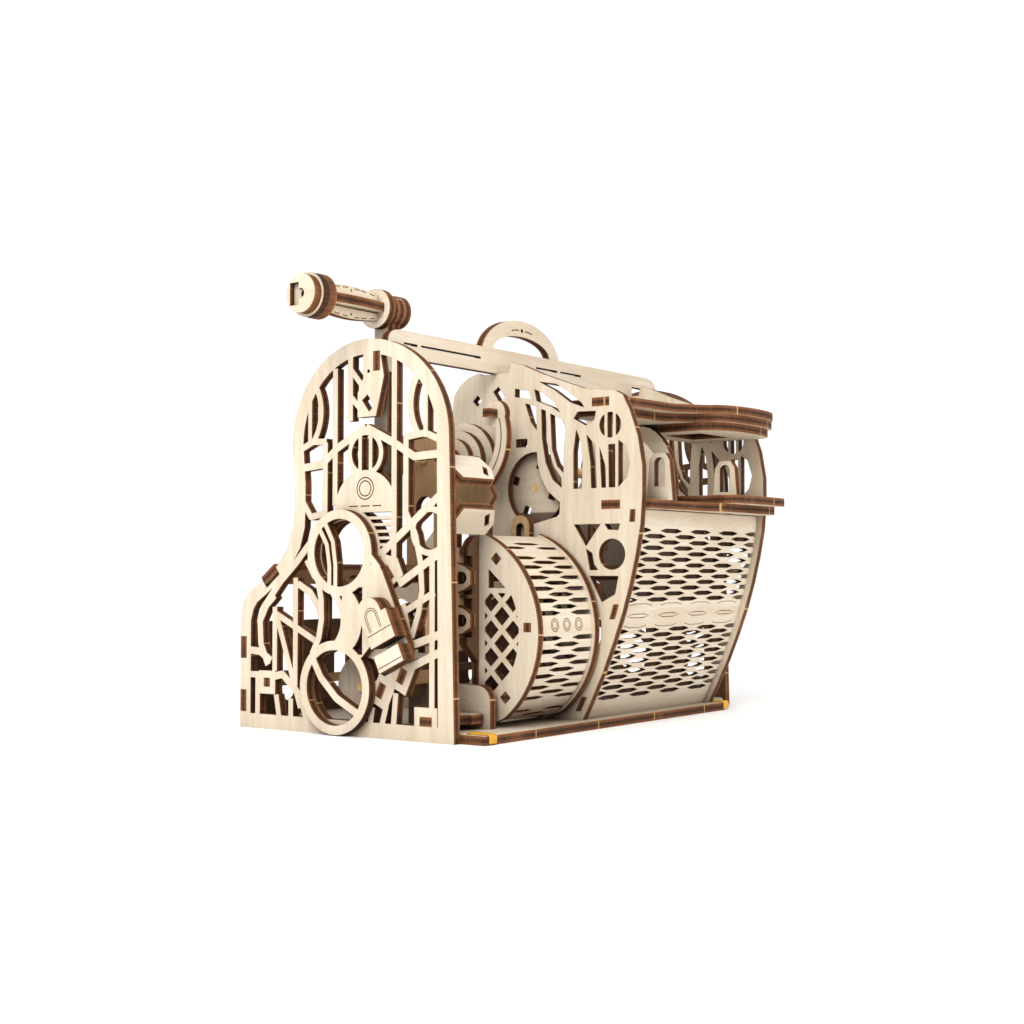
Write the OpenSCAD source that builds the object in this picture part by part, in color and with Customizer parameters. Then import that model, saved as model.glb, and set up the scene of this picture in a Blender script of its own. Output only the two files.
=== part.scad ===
// Mechanical money box shaped like an old cash register, built from laser-cut plywood sheets.
// Working frame of every module: X runs along the box from the outer face of the near side panel,
// Y runs from the front edge of the side panels to the back, Z is up from the table.
// placed() then moves everything to the row frame, whose origin is the middle of the underside.

/* [Overall] */
// thickness of every plywood sheet
sheet = 3; // [2:0.1:5]
// length between the outer faces of the two side panels
body_len = 180; // [150:1:220]
// depth of a side panel along the table
panel_depth = 95.5; // [85:0.5:110]
// height of the dome of a side panel
panel_h = 130.8; // [120:0.1:150]
// gap between pieces that move past each other
gap = 0.3; // [0.2:0.05:0.5]
// radial clearance of a wooden axle in its hole
run_fit = 0.06; // [0.02:0.01:0.1]

/* [Side panels] */
// width of the plain band along the front edge
front_band = 6.5; // [4:0.1:10]
// width of the plain band around the dome
dome_band = 5; // [3:0.1:8]
// width of a lattice bar
bar_w = 2.2; // [1.5:0.1:4]

/* [Lever] */
// distance from the main shaft to the grip
lever_reach = 48.5; // [42:0.5:55]
// radius of the main shaft
shaft_r = 2; // [1.5:0.1:3]
// radius of the grip cap
cap_r = 7.2; // [6:0.1:9]
// length of the contoured slats
slat_len = 25.7; // [20:0.1:40]

/* [Coin drum] */
// radius of the round front of the drum cheeks
drum_r = 35; // [30:1:40]
// inner width between the drum cheeks
drum_w = 30.2; // [20:0.1:35]

/* [Hidden] */
$fn = 48;

near_in = sheet;
far_in = body_len - sheet;
shaft_y = 37.5;
shaft_z = 93;
grip_z = shaft_z + lever_reach;
arm_x = 7.7;
spindle_r = 1.5;
rib_near_x = 64;
rib_far_x = 152.5;
rib_mid_x = 104;
rail_y = 31.2;
axle_r = 1.5;

drum_x0 = 26.3;
drum_x1 = drum_x0 + sheet + drum_w;
drum_cy = 21.5;
drum_cz = 34;
drum_pivot = [8, 6];
drum_tilt = 22;
door_y = 10.5;
strip_r = drum_r - 1;
strip_t = 1.4;
strip_mid = drum_x0 + sheet + drum_w / 2;
lens_len = 15.2;
lens_h = 1.5;
lens_pitch = 20.8;

bay_t = 2.2;
shelf_z = 75.5;
canopy_z = 111;

lock_hub = [46, 60.3];
lock_foot = [48, 15.8];
hub_r = 12.6;
wheel_c = [46.5, 15.3];

gear_m = 1.2;
gear_big_n = 22;
gear_small_n = 14;
gear_x = 74;
press_a = 25;
gear_dist = gear_m * (gear_big_n + gear_small_n) / 2;
counter_dir = 205;
counter_y = shaft_y + gear_dist * cos(counter_dir);
counter_z = shaft_z + gear_dist * sin(counter_dir);

// ---------- placing ----------

module placed() {
  translate([-body_len / 2, -panel_depth / 2, 0])
    children();
}

// a flat outline drawn as (Y, Z), cut from a sheet whose near face is at x
module sheet_yz(x, thick = sheet) {
  placed()
    translate([x, 0, 0])
      rotate([90, 0, 90])
        linear_extrude(thick)
          children();
}

// a flat outline drawn as (X, Z), cut from a sheet whose front face is at y
module sheet_xz(y, thick = sheet) {
  placed()
    translate([0, y + thick, 0])
      rotate([90, 0, 0])
        linear_extrude(thick)
          children();
}

// a flat outline drawn as (X, Y), cut from a sheet whose lower face is at z
module sheet_xy(z, thick = sheet) {
  placed()
    translate([0, 0, z])
      linear_extrude(thick)
        children();
}

// ---------- flat shapes ----------

function arc_points(c, rx, rz, a0, a1, n = 16) =
  [for (i = [0 : n]) let (a = a0 + (a1 - a0) * i / n) [c[0] + rx * cos(a), c[1] + rz * sin(a)]];

// a straight lattice bar between two points
module bar(a, b, w = bar_w) {
  run = b - a;
  translate(a)
    rotate(atan2(run[1], run[0]))
      translate([0, -w / 2])
        square([norm(run), w]);
}

// a lattice bar that bends along a list of points
module bent_bar(points, w = bar_w) {
  for (i = [0 : len(points) - 2])
    bar(points[i], points[i + 1], w);
  for (i = [1 : len(points) - 2])
    translate(points[i])
      circle(d = w, $fn = 8);
}

// a lattice bar along an arc of a circle
module arc_bar(c, r, a0, a1, w = bar_w) {
  polygon(concat(
    arc_points(c, r + w / 2, r + w / 2, a0, a1),
    arc_points(c, r - w / 2, r - w / 2, a1, a0)
  ));
}

module ring(c, r_in, r_out) {
  translate(c)
    difference() {
      circle(r_out);
      circle(r_in);
    }
}

// a rectangle centred on a point and turned
module slot(c, size, turn = 0) {
  translate(c)
    rotate(turn)
      square(size, center = true);
}

// a bar whose two ends are rounded
module stadium(a, b, w) {
  bar(a, b, w);
  for (p = [a, b])
    translate(p)
      circle(d = w);
}

// ---------- side panels ----------

dome_c = [shaft_y, 97];
// the front edge leans back by this much between the table and the dome
dome_lean = 2.2;

function panel_outline(band = 0) = concat(
  [[panel_depth - band, band], [band * 1.3, band]],
  arc_points(dome_c, shaft_y - dome_lean - band, panel_h - dome_c[1] - band, 180, 90),
  arc_points(dome_c, 33.2 - band, panel_h - dome_c[1] - band, 84, 0, 14),
  [
    [69.6 - band, 84], [69.6 - band, 75], [70.4 - band * 1.1, 69], [73 - band * 1.2, 62],
    [78 - band * 0.9, 56 - band * 0.6], [86 - band * 0.5, 50 - band * 0.8],
    [91 - band * 0.7, 47 - band * 0.7], [94.3 - band, 43 - band * 0.4], [panel_depth - band, 37]
  ]
);

// the dome: upright bars, the roof-shaped bars and the lens arcs on both sides
module dome_lattice() {
  bar([51, 76], [51, 122]);
  bar([44.2, 104], [44.2, 126]);
  bar([25, 56], [25, 126]);
  bar([20, 72], [20, 98]);
  bar([55.5, 73], [55.5, 97.5]);
  bent_bar([[37.2, 101.5], [50, 95.3], [57, 90], [67, 89.2]], 2.6);
  bent_bar([[37.2, 101.5], [25, 95.8], [16.5, 91], [5, 91.5]], 2.6);
  bent_bar([[67, 95.5], [61, 98], [55, 97.6]]);
  bent_bar([[5, 95.5], [12, 98.4], [20.5, 97.4]]);
  arc_bar([74, 108], 16.5, 143, 217);
  arc_bar([1.5, 108], 16.5, -37, 37);
  bar([62.6, 97], [62.6, 115], 1.8);
  bar([11.8, 97], [11.8, 115], 1.8);
}

// the plain block of the dome that carries two slots, the shaft ring and the arched plaque
module dome_block() {
  polygon([[41, 105], [41, 113], [38.5, 118], [38.5, 128], [31.5, 128], [29.5, 118], [33, 105]]);
  bar([36, 112], [44, 121], 2);
  bar([38, 106], [44, 112], 2);
  ring([shaft_y, shaft_z], 6, 7.8);
  bar([35.2, 86], [35.2, 100], 1.5);
  bar([39.8, 86], [39.8, 100], 1.5);
  polygon(concat(arc_points([37.5, 76], 13, 11.5, 170, 10), [[51, 73.5], [25, 73.5]]));
  for (i = [0 : 4])
    bar([37, 71.6 - 2.2 * i], [24, 71.6 - 2.2 * i], 1);
}

// the middle of the panel below the dome, in front of the lock
module waist_lattice() {
  bar([31, 59.5], [5, 79], 2.6);
  bar([23, 50], [5, 60.5], 2.6);
  bar([21, 41], [8, 47.5]);
  bent_bar([[20.5, 74], [16, 66], [13.8, 57], [13.2, 48], [14.5, 41], [17.5, 33]]);
  ring([10, 67], 6, 8);
  bar([9, 8], [9, 60]);
  bar([19, 30], [5, 34.5], 2.6);
  bar([33, 17], [5, 29], 2.6);
  polygon([[34, 50], [27, 48.5], [21, 53], [23.5, 58.5], [30, 60]]);
  polygon([[35, 38], [20, 44], [17, 32], [25, 24], [36, 26]]);
}

// the foot of the panel: lugs round the slots and the bars under them
module foot_lattice() {
  slot([11.5, 6.5], [9.5, 9]);
  slot([29.5, 15], [8, 10], 25);
  slot([21.5, 20.5], [8, 10], 25);
  bar([28, 11], [30, 4]);
  bar([24, 15], [25, 4]);
  bar([34, 10], [35, 4]);
  slot([82.5, 16], [8, 8]);
  bent_bar([[80, 18], [75, 19], [70, 15], [66.5, 12], [63.5, 4]], 2.6);
  bar([87, 4], [87, 18]);
  bar([78, 12], [76.5, 4]);
  bar([71, 11], [71, 4]);
  bar([93, 18.5], [85, 18.5]);
}

// the fan of bars between the lock and the back edge
module back_lattice() {
  bent_bar([[93, 27], [86, 26.5], [80.5, 23.5]], 2.6);
  bent_bar([[82, 22], [85.5, 29], [86, 37], [83, 42.5], [79, 46]], 2.6);
  bar([66.5, 8], [78, 39]);
  bar([78, 39.5], [60, 31]);
  bar([69, 14], [69, 52]);
  bar([78.8, 20], [78.8, 42]);
  bent_bar([[84, 42], [76, 51], [69, 57], [62, 64]], 2.6);
  bent_bar([[68, 50], [62, 47], [58, 42], [56, 35], [56, 28]], 2.4);
  bar([64, 58], [60, 52]);
  bent_bar([[66, 78], [62, 72.5], [56, 73.5]], 2.2);
}

// round openings behind the two rings of the lock lever
module lock_openings_band() {
  ring(lock_hub, hub_r + run_fit, hub_r + 2.6);
  ring(lock_foot, 12.4, 15);
  bar([56, 27], [56, 50], 2.4);
}

module panel_slots() {
  slot([11.5, 6.5], [5, sheet]);
  slot([82.5, 16], [sheet + 0.04, sheet + 0.04]);
  slot([30.5, 15.5], [sheet + 0.04, 5.04], 25);
  slot([21.5, 20.5], [sheet + 0.04, 5.04], 25);
  slot([27.5, 53.5], [sheet + 0.04, 5.04], -38);
  slot([36.3, 109.5], [sheet, 5], -38);
  slot([32.7, 123.2], [sheet + 0.04, 6.5]);
  translate([shaft_y - 2.3 + 1, 120])
    circle(0.6);
  for (z = [5.5, 24])
    translate([panel_depth - sheet - 0.02, z])
      square([sheet + 1, 7.54]);
  slot([81.6, 53.2], [7.8, sheet * 2], -38);
}

module side_panel_shape() {
  difference() {
    polygon(panel_outline());
    difference() {
      polygon(panel_outline(dome_band));
      dome_lattice();
      difference() {
        union() {
          dome_block();
          waist_lattice();
          foot_lattice();
          back_lattice();
        }
        translate(lock_hub)
          circle(hub_r + 1);
        translate(lock_foot)
          circle(13);
      }
      lock_openings_band();
    }
    panel_slots();
  }
}

module side_panel_near() {
  color([0.93, 0.85, 0.68])
    sheet_yz(0)
      side_panel_shape();
}

module side_panel_far() {
  color([0.93, 0.85, 0.68])
    sheet_yz(far_in)
      side_panel_shape();
}

// ---------- base, back and rail ----------

module base_plate() {
  color([0.9, 0.82, 0.64])
    sheet_xy(0)
      polygon([
        [near_in, -10], [157, -10], [far_in, 2], [far_in, panel_depth - sheet - 0.02],
        [near_in, panel_depth - sheet - 0.02]
      ]);
}

module back_plate() {
  color([0.92, 0.84, 0.66])
    sheet_xz(panel_depth - sheet)
      difference() {
        union() {
          translate([near_in, 0])
            square([far_in - near_in, 36.5]);
          for (z = [5.52, 24.02])
            translate([0, z])
              square([body_len, 7.5]);
        }
        // paired arched vents keep the plain sheet light
        for (i = [0 : 5])
          stadium([22 + 27 * i, 12], [22 + 27 * i, 25], 9);
      }
}

// the sloping sheet that the keyboard of a real register would sit on
module back_slope() {
  color([0.92, 0.84, 0.66])
    placed()
      translate([0, 81.6, 53.2])
        rotate([-38, 0, 0])
          difference() {
            translate([0, -3.85, -sheet / 2])
              cube([body_len, 7.7, sheet]);
            for (x = [40 : 33.3 : 140])
              translate([x, -1.2, -sheet])
                cube([20, 2.4, 2 * sheet]);
          }
}

rail_z0 = 125.5;
rail_z1 = 134.5;
handle_x = 79;

module top_rail() {
  color([0.93, 0.85, 0.68])
    sheet_xz(rail_y)
      top_rail_shape();
}

module top_rail_shape() {
  difference() {
    union() {
      polygon(concat(
        [[7, 120], [0, 120], [0, 126.4], [4, 126.4]],
        arc_points([9, 130.5], 5, rail_z1 - 130.5, 180, 90, 6),
        arc_points([167, 130.5], 7, rail_z1 - 130.5, 90, 0, 6),
        [[174, 129.8], [rib_far_x + sheet, 129.8], [rib_far_x + sheet, rail_z0], [7, rail_z0]]
      ));
      polygon(arc_points([handle_x, rail_z1 - 3], 24.5, 15, 0, 180, 24));
    }
    polygon(arc_points([handle_x, rail_z1], 17.5, 6.2, 180, 0, 20));
    for (span = [[12, 19], [21, 54], [88, 102], [104, 118]])
      translate([span[0], 129.8])
        square([span[1] - span[0], 0.8]);
    translate([handle_x, 143])
      circle(0.7);
  }
}

// ---------- ribs ----------

front_curve = [
  [-5.4, sheet], [-9, 10], [-13.8, 20], [-17.9, 30], [-21.6, 40], [-24.6, 50], [-27, 60],
  [-28.9, 70], [-29.7, 80], [-29.7, 90], [-28, 100], [-24.8, 109], [-22, 114.4], [-19, 116]
];

// the rail stands on the short ledge between the two highest steps
back_curve = [
  [11.4, 124], [20, 127.8], [25, 129.1], [26, rail_z0 - 0.02], [38, rail_z0 - 0.02],
  [40.3, 126.3], [45, 124.7], [48.5, 122.2], [50.9, 119.3], [51.5, 116.9], [52.5, 108],
  [52, 95], [54, 84], [60, 70], [68, 62], [76, 53], [86, 45], [91, 38],
  [panel_depth - sheet - 0.02, 30], [panel_depth - sheet - 0.02, sheet], [30, sheet], [-2, sheet]
];

// how far the windows and slots of the front of a rib sit behind their drawn place
rib_shift = 1.4;

function rib_outline() = concat(front_curve, [[-6.6, 117.5]], back_curve);

// curved windows of the shoulder, between the dome edge and the round hole
module shoulder_windows() {
  polygon([[11.5, 121.3], [4, 120], [-1.7, 116.4], [-6.7, 112.6], [-7.8, 110.9], [-2, 113], [5, 118]]);
  polygon([[13.5, 118.8], [9.5, 117], [5, 113.5], [2.3, 109.7], [6, 112], [12.5, 114.5]]);
  polygon([[22, 119.5], [16, 118.5], [14.8, 115.3], [22, 116.5]]);
  polygon([[17.5, 114], [12.6, 112.5], [12.4, 104], [15, 107]]);
  polygon([
    [10.5, 111.5], [8.6, 110.8], [7.6, 98], [5.1, 91], [1.8, 86.7], [1.8, 83.3], [5.6, 86.3],
    [8.6, 92.4], [10.2, 101]
  ]);
  polygon([[6.6, 109.7], [1.8, 107.4], [0, 104], [0.8, 97], [1, 88.5], [3.7, 91], [5.9, 97]]);
}

// tall arched windows that stand on the solid band
module arched_windows() {
  polygon([[-3.2, 82.8], [-3.2, 96], [-4.4, 103.5], [-6.3, 99], [-7, 91], [-6.8, 82.8]]);
  polygon([[-8.7, 101.5], [-12.3, 97.5], [-12.9, 82.8], [-10.6, 82.8], [-10.2, 92]]);
  polygon([[-14, 97], [-14.8, 82.8], [-16.6, 82.8], [-16.5, 90]]);
  polygon([[-17.6, 97.6], [-20.4, 97.6], [-20.4, 82.8], [-17.8, 82.8]]);
  polygon([[-21.7, 99], [-24.5, 97], [-26.4, 91], [-25, 86], [-21.6, 82.8]]);
  polygon([[-3.3, 107.3], [-5, 109.6], [-12.6, 109.4], [-12, 106.5], [-8.4, 104.6]]);
}

// a round window crossed by two upright bars
module barred_ring_window() {
  difference() {
    translate([-18.4, 104.3])
      circle(4.4);
    for (y = [-20.1, -16.7])
      bar([y, 99], [y, 110], 1.2);
  }
}

// windows of the waist, between leaning bars, and the round one
module waist_windows() {
  polygon([[-3.4, 70.4], [-14.4, 70.4], [-8.4, 62.8]]);
  polygon([[-16, 70.4], [-22.3, 70.4], [-21.6, 68.2], [-17.4, 68.4]]);
  polygon([[-8.4, 62], [-11, 60.4], [-11.8, 56.6], [-13.4, 54.6], [-10, 54.6]]);
  polygon([[-9.8, 52.6], [-21.6, 52.6], [-20.2, 46.4], [-14.8, 43.6]]);
  polygon([
    [-10, 41.8], [-14.6, 37.6], [-14.4, 31], [-9.9, 21.5], [-4.6, 13.5], [1, 11], [4.5, 14],
    [4.5, 40], [0, 44], [-5, 43.6]
  ]);
  translate([-19, 60])
    circle(5.3);
}

module rib_windows() {
  shoulder_windows();
  arched_windows();
  barred_ring_window();
  waist_windows();
}

module rib_slots() {
  slot([-14.5, canopy_z + 1.5], [7.04, sheet + 0.04]);
  slot([-18.5, shelf_z + 1.5], [7.54, sheet + 0.04]);
}

module rib_shape() {
  difference() {
    polygon(rib_outline());
    translate([rib_shift, 0]) {
      rib_windows();
      rib_slots();
    }
    for (band = tab_bands)
      bay_section(band[0], band[1], 0.02);
    slot([27.5, 53.5], [sheet + 0.04, 5.04], -38);
    translate([shaft_y, shaft_z])
      circle(shaft_r + run_fit);
    // large rear windows
    stadium([52, 20], [52, 42], 20);
    stadium([78, 16], [78, 36], 16);
    stadium([46, 65], [46, 76], 10);
    stadium([30, 20], [30, 38], 14);
  }
}

module rib_near() {
  color([0.94, 0.86, 0.69])
    sheet_yz(rib_near_x)
      difference() {
        rib_shape();
        translate(drum_pivot)
          circle(axle_r + 0.02);
        slot([20.4, 99.8], [5, sheet]);
        slot([40.3, 116.2], [sheet, sheet], 45);
        slot([30.5, 117.9], [sheet, 5], -35);
        // the round opening behind the drum, its front edge following the curved windows
        translate([rib_shift, 0])
          polygon(concat(
            arc_points([13.4, 83.4], 11.8, 13, 95, -80, 14),
            [[2.8, 73.5], [2.4, 78.2], [7.8, 82.4], [10.7, 87.5], [12, 92]]
          ));
      }
}

module rib_far() {
  color([0.94, 0.86, 0.69])
    sheet_yz(rib_far_x)
      difference() {
        rib_shape();
        translate([counter_y, counter_z])
          circle(axle_r + run_fit);
      }
}

// the slimmer rib seen between the shelf and the canopy
module rib_mid() {
  color([0.94, 0.86, 0.69])
    sheet_yz(rib_mid_x)
      difference() {
        union() {
          polygon(concat(
            arc_points([-4, 86], 15, 21.6, 98, 200, 10),
            [[-14, shelf_z + sheet], [counter_y, shelf_z + sheet], [counter_y, 107.6]]
          ));
          translate([counter_y, counter_z])
            circle(5.4);
        }
        polygon(concat(
          arc_points([-1, 86], 12, 17, 100, 190, 8),
          [[-10, 83.5], [8, 83.5], [8, 103]]
        ));
        translate([counter_y, counter_z])
          circle(axle_r + run_fit);
      }
}

// ---------- bay: bent lattice front, shelf, lid and canopy ----------

bay_x0 = rib_near_x + sheet + 0.02;
bay_x1 = rib_far_x - 0.02;
bay_len = bay_x1 - bay_x0;
// how far the bent sheet sits behind the front edge of the ribs
bay_in = 2.2;
bay_mid = (bay_x0 + bay_x1) / 2;
// heights of the three pairs of tabs that hold the bent sheet in the ribs
tab_bands = [[6, 11], [37.9, 42.9], [70.9, 75.1]];

function bay_curve(inset) = concat(
  [for (p = front_curve) if (p[1] <= 70) [p[0] + bay_in + inset, max(p[1], sheet + 0.02)]],
  [[-27.1 + inset, shelf_z - 0.3]]
);

function reversed(list) = [for (i = [len(list) - 1 : -1 : 0]) list[i]];

// the bent sheet in section between two heights, with slack all round
module bay_section(z0, z1, slack = 0) {
  intersection() {
    polygon(concat(bay_curve(-slack), reversed(bay_curve(bay_t + slack))));
    translate([-40, z0 - slack])
      square([60, z1 - z0 + 2 * slack]);
  }
}

// a row of lens slots at the given places along X, cut level from the depth near to the depth far
module lens_row(places, z, near, far) {
  translate([0, -near, z])
    rotate([90, 0, 0])
      linear_extrude(far - near)
        for (x = places)
          translate([x, 0])
            polygon([
              [-lens_len / 2, 0], [-lens_len / 4, lens_h / 2], [lens_len / 4, lens_h / 2],
              [lens_len / 2, 0], [lens_len / 4, -lens_h / 2], [-lens_len / 4, -lens_h / 2]
            ]);
}

// rows of lenses alternate: five with the end ones cut by the edge, then four between them
function bay_places(row) = row % 2 == 0
  ? [for (k = [-2 : 2]) bay_mid + lens_pitch * k]
  : [for (k = [-1.5 : 1 : 1.5]) bay_mid + lens_pitch * k];

module bay_mesh() {
  color([0.94, 0.87, 0.72])
    difference() {
      union() {
        sheet_yz(bay_x0, bay_len)
          polygon(concat(bay_curve(0), reversed(bay_curve(bay_t))));
        sheet_yz(rib_near_x, rib_far_x + sheet - rib_near_x)
          for (band = tab_bands)
            bay_section(band[0], band[1]);
      }
      placed() {
        for (i = [0 : 12])
          lens_row(bay_places(i), 44.3 + 2 * i, 15, 32);
        for (i = [0 : 13])
          lens_row(bay_places(i), 33.4 - 1.8 * i, 2, 24);
      }
    }
}

shelf_back = -2;

module bay_shelf() {
  color([0.93, 0.85, 0.68])
    sheet_xy(shelf_z)
      difference() {
        union() {
          polygon([
            [bay_x0, -31], [100, -32.5], [108, -36.5], [148.4, -36.5], [148.4, -33.2],
            [bay_x1, -33.2], [bay_x1, shelf_back], [bay_x0, shelf_back]
          ]);
          translate([rib_near_x, rib_shift - 22.25])
            square([rib_far_x + sheet - rib_near_x, 7.5]);
        }
        // the hole the lid covers
        translate([112, -20])
          square([30, 14]);
        for (x = staple_x)
          slot([x + sheet / 2, -27.5], [sheet + 0.04, 5.04]);
      }
}

lid_x0 = 108.5;
lid_x1 = 147;

module bay_lid() {
  color([0.93, 0.85, 0.68])
    sheet_xy(shelf_z + sheet + 0.02)
      difference() {
        polygon(concat(
          [[rib_mid_x + sheet + gap, -3], [rib_mid_x + sheet + gap, -26], [lid_x0, -30]],
          [[lid_x0, -37], [111, -40.5]],
          arc_points([130.3, -40.5], 18.3, 1.5, 180, 360, 10),
          [[149, -33.5], [lid_x1, -33.5], [lid_x1, -3]]
        ));
        slot([staple_x[1] + sheet / 2, -27.5], [sheet + 0.8, staple_w + 1.2]);
      }
}

staple_w = 10.4;
staple_h = 16.5;
staple_x = [79, 126];

// a tapering plate with an arched hole above its sill, standing on a tab
module staple_shape(w, h, leg, sill) {
  arch_z = h - w * 0.2 - 1.5;
  difference() {
    union() {
      polygon([
        [-w / 2, 0], [-w / 2 + 1.2, h - 2.6], [-w / 2 + 2.8, h], [w / 2 - 2.8, h],
        [w / 2 - 1.2, h - 2.6], [w / 2, 0]
      ]);
      translate([-leg / 2, -sheet])
        square([leg, sheet + 0.5]);
    }
    translate([-w / 5, sill])
      square([w * 0.4, arch_z - sill]);
    translate([0, arch_z])
      circle(w / 5);
  }
}

module shelf_staples() {
  color([0.95, 0.88, 0.72])
    for (x = staple_x)
      sheet_yz(x)
        translate([-27.5, shelf_z + sheet + 0.02])
          staple_shape(staple_w, staple_h, 5, 5);
}

function canopy_front(reach) = concat(
  [[96, -22 - reach * 0.2], [106, -27 - reach * 0.4]],
  arc_points([130.2, -32], 22.2, reach, 180, 360, 12)
);

module canopy_top() {
  color([0.93, 0.85, 0.68])
    sheet_xy(canopy_z)
      union() {
        polygon(concat(
          [[bay_x0, 2], [bay_x0, -21.5]], canopy_front(7), [[152.4, -28.2], [bay_x1, -28.2], [bay_x1, 2]]
        ));
        translate([rib_near_x, rib_shift - 18])
          square([rib_far_x + sheet - rib_near_x, 7]);
      }
}

module canopy_middle() {
  color([0.93, 0.85, 0.68])
    sheet_xy(canopy_z - sheet)
      polygon(concat(
        [[bay_x0, 2], [bay_x0, -17.5]],
        [[96, -18], [106, -26]],
        arc_points([130.2, -32], 22.2, 6, 180, 360, 12),
        [[152.4, -29.2], [bay_x1, -29.2], [bay_x1, 2]]
      ));
}

module canopy_peak() {
  color([0.93, 0.85, 0.68])
    sheet_xy(canopy_z - 2 * sheet)
      difference() {
        polygon(concat(
          [[rib_mid_x + sheet + 0.02, 2], [rib_mid_x + sheet + 0.02, -28]],
          arc_points([130.2, -31.5], 20.7, 5, 180, 360, 12),
          [[150.9, -29.8], [bay_x1, -29.8], [bay_x1, 2]]
        ));
        translate([118, -22])
          square([22, 16]);
      }
}

// ---------- beams that tie the panels ----------

module back_beam() {
  color([0.88, 0.79, 0.6])
    placed()
      translate([0, 82.5 - sheet / 2, 16 - sheet / 2])
        cube([body_len, sheet, sheet]);
}

module tilted_beam(y, z, turn, length) {
  placed()
    translate([0, y, z])
      rotate([turn, 0, 0])
        translate([0, -sheet / 2, -2.5])
          cube([length, sheet, 5]);
}

module waist_beam() {
  color([0.88, 0.79, 0.6])
    tilted_beam(27.5, 53.5, -38, body_len);
}

module foot_beams() {
  color([0.88, 0.79, 0.6]) {
    tilted_beam(30.5, 15.5, 25, bracket_x + sheet);
    tilted_beam(21.5, 20.5, 25, bracket_x + sheet);
  }
}

// ---------- coin slot nose ----------

nose_x1 = 24;
slot_mid_z = 78.8;

// one leaning sheet of the nose with a cut corner and a slanted slot
module nose_sheet(length) {
  linear_extrude(sheet)
    difference() {
      polygon([[near_in, 0], [nose_x1 - 5, 0], [nose_x1, 6], [nose_x1, length], [near_in, length]]);
      bar([nose_x1 - 7, 2.2], [nose_x1 - 3.2, 6.8], 1.8);
    }
}

module nose_upper() {
  color([0.96, 0.9, 0.76])
    placed()
      translate([0, 0.5, slot_mid_z + 2.75])
        rotate([38, 0, 0])
          nose_sheet(13);
}

module nose_lower() {
  color([0.96, 0.9, 0.76])
    placed()
      translate([0, 0.5, slot_mid_z - 2.75])
        rotate([-45, 0, 0])
          translate([0, 0, -sheet])
            nose_sheet(11);
}

module chute_cheek() {
  color([0.9, 0.82, 0.64])
    sheet_yz(nose_x1 + 0.02)
      polygon([[3, 78.8], [11, 68.2], [24, 68.2], [24, 84], [14, 92.5], [11, 92.5]]);
}

bearing_x = 30;

// the inner sheet that carries the near end of the main shaft
module bearing_plate() {
  color([0.92, 0.84, 0.66])
    sheet_yz(bearing_x)
      difference() {
        union() {
          polygon([[23, 50], [45, 50], [45, 100], [30, 100], [27, 90], [23, 74]]);
          translate([shaft_y, shaft_z])
            circle(9.5);
        }
        translate([shaft_y, shaft_z])
          circle(shaft_r + run_fit);
        slot([27.5, 53.5], [sheet + 0.04, 5.04], -38);
        stadium([37, 62], [37, 76], 8);
      }
}

// ---------- arc track around the main shaft ----------

track_x = 47.6;
track_c = [shaft_y, 101.2];
track_boss = [20.4, 109];

module track() {
  color([0.94, 0.87, 0.71])
    sheet_yz(track_x)
      difference() {
        union() {
          polygon(concat(
            arc_points(track_c, 22.6, 22.6, 155, 240, 20),
            arc_points(track_c, 17.8, 17.8, 240, 155, 20)
          ));
          translate(track_boss)
            circle(4.8);
          stadium([27.2, 80.5], [27.5, 53.5], 8.4);
        }
        slot([27.5, 53.5], [sheet + 0.04, 5.04], -38);
        slot(track_boss, [sheet + 0.04, sheet + 0.04]);
      }
}

// the square peg pushed through the upper end of the track
module track_peg() {
  color([0.5, 0.34, 0.2])
    placed()
      translate([track_x - 4.5, track_boss[0] - sheet / 2, track_boss[1] - sheet / 2])
        cube([10, sheet, sheet]);
}

// ---------- coin drum ----------

bracket_x = 20.5;

module drum_bracket() {
  color([0.92, 0.84, 0.66])
    sheet_yz(bracket_x)
      difference() {
        union() {
          polygon(concat(
            [[1.5, 3], [1.5, 12]],
            arc_points([6.5, 12], 5, 5, 180, 90, 6),
            arc_points([16, 22], 5.5, 5, 250, 330, 6),
            [[24, 27], [36, 24], [36, 3]]
          ));
        }
        translate(drum_pivot)
          circle(axle_r + 0.02);
        slot([30.5, 15.5], [sheet + 0.04, 5.04], 25);
        slot([21.5, 20.5], [sheet + 0.04, 5.04], 25);
      }
}

module drum_axle() {
  color([0.8, 0.66, 0.42])
    placed()
      translate([bracket_x, drum_pivot[0], drum_pivot[1]])
        rotate([0, 90, 0])
          cylinder(r = axle_r, h = rib_near_x + sheet - bracket_x);
}

// the bottom of the drum is cut so that it clears the base when it tilts
module drum_bottom_cut() {
  translate(drum_pivot)
    rotate(-drum_tilt)
      translate([-60, -60])
        square([60, 60 - 2.75]);
  translate([-40, -40])
    square([90, 40 + sheet + 0.25]);
}

// the three square bars between the cheeks: Y, Z and turn
drum_bar_places = [[3.4, 58.3, 45], [-9.2, 36, 0], [-0.4, 13, 45]];

module cheek_shape() {
  difference() {
    intersection() {
      translate([drum_cy, drum_cz])
        circle(drum_r);
      translate([-20, 0])
        square([20 + door_y - 0.02, 80]);
    }
    drum_bottom_cut();
    translate(drum_pivot)
      circle(axle_r + run_fit);
    for (bar_at = drum_bar_places)
      slot([bar_at[0], bar_at[1]], [sheet + 0.04, sheet + 0.04], bar_at[2]);
    polygon([[6.5, 55], [6.5, 48.7], [-0.5, 48.7]]);
    intersection() {
      translate([drum_cy, drum_cz])
        circle(27.3);
      translate([-6, 15])
        square([14, 32]);
      cheek_crossbars_gaps();
    }
  }
}

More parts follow.
